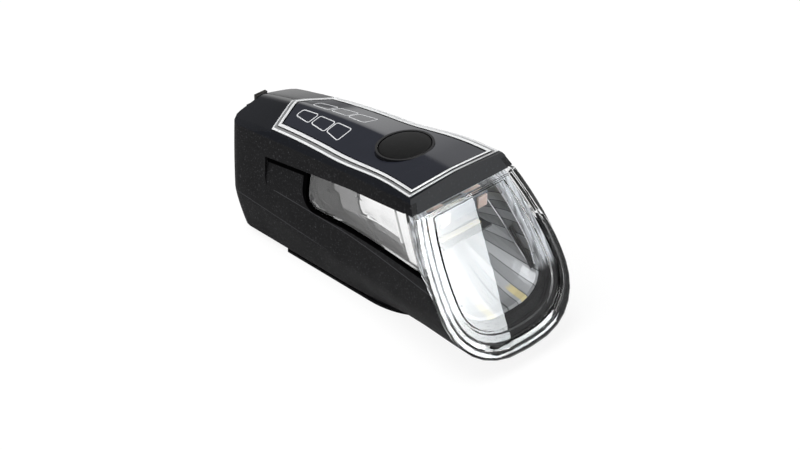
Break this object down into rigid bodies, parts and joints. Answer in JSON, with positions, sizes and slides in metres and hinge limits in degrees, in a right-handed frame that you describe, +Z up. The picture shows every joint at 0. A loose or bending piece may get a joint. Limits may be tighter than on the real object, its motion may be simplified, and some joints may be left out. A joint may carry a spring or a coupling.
{
  "type": "bicycle headlight",
  "caption": "Rechargeable bicycle headlight with a tilted clear lens, glossy roof panel with indicator marks and oval button, side windows and a slide-in foot.",
  "frame": {"origin": "middle of the foot's lower face, between its side grooves", "axes": "+X along the beam, +Y to the left of the beam, +Z up"},
  "size_m": [0.1081, 0.0468, 0.047],
  "materials": {
    "body_plastic": "fine grain",
    "cover_gloss": "gloss",
    "panel_gloss": "gloss",
    "bright_trim": "polished",
    "button_rubber": "matt",
    "cup_plastic": "satin",
    "seal_rubber": "matt",
    "flap_rubber": "matt",
    "clear_lens": "clear",
    "bright_bowl": "bright",
    "bezel_black": "satin",
    "sink_metal": "brushed",
    "lamp_board": "satin",
    "lamp_yellow": "satin",
    "board_green": "satin",
    "chip_black": "satin",
    "switch_metal": "satin",
    "small_lamp": "satin",
    "guide_clear": "clear",
    "steel": "bright",
    "cell_wrap": "film",
    "cradle_plastic": "matt",
    "lead_red": "satin",
    "lead_black": "satin",
    "foot_plastic": "fine grain"
  },
  "bodies": {
    "housing": {"lower_housing": "body_plastic", "top_cover": "cover_gloss", "cover_seal": "seal_rubber", "chrome_trim": "bright_trim", "display_panel": "panel_gloss", "button_cup": "cup_plastic", "tact_switch": "switch_metal", "main_board": "board_green", "board_parts": "chip_black", "indicator_leds": "small_lamp", "light_guide": "guide_clear", "usb_socket": "steel", "flap_pin": "steel", "battery_cell": "cell_wrap", "battery_cradle": "cradle_plastic", "battery_leads": "lead_red", "front_lens": "clear_lens", "lens_gasket": "seal_rubber", "reflector_bezel": "bezel_black", "reflector": "bright_bowl", "heat_sink": "sink_metal", "led_board": "lamp_board", "led_emitter": "lamp_yellow", "led_leads": "lead_black", "side_window_left": "clear_lens", "side_window_right": "clear_lens", "side_mirror_left": "bright_bowl", "side_mirror_right": "bright_bowl", "mount_foot": "foot_plastic", "foot_screws": "steel"},
    "button": {"mode_button": "button_rubber", "switch_plunger": "chip_black"},
    "flap": {"usb_flap": "flap_rubber"}
  },
  "joints": [
    {"name": "button_press", "type": "slide", "parent": "housing", "child": "button", "axis": [0, 0, -1], "range_m": [0, 0.0006], "stiffness_N_per_m": 1500},
    {"name": "flap_swing", "type": "hinge", "parent": "housing", "child": "flap", "pos_m": [-0.0491, 0, 0.026], "axis": [0, -1, 0], "range_deg": [0, 105]}
  ]
}
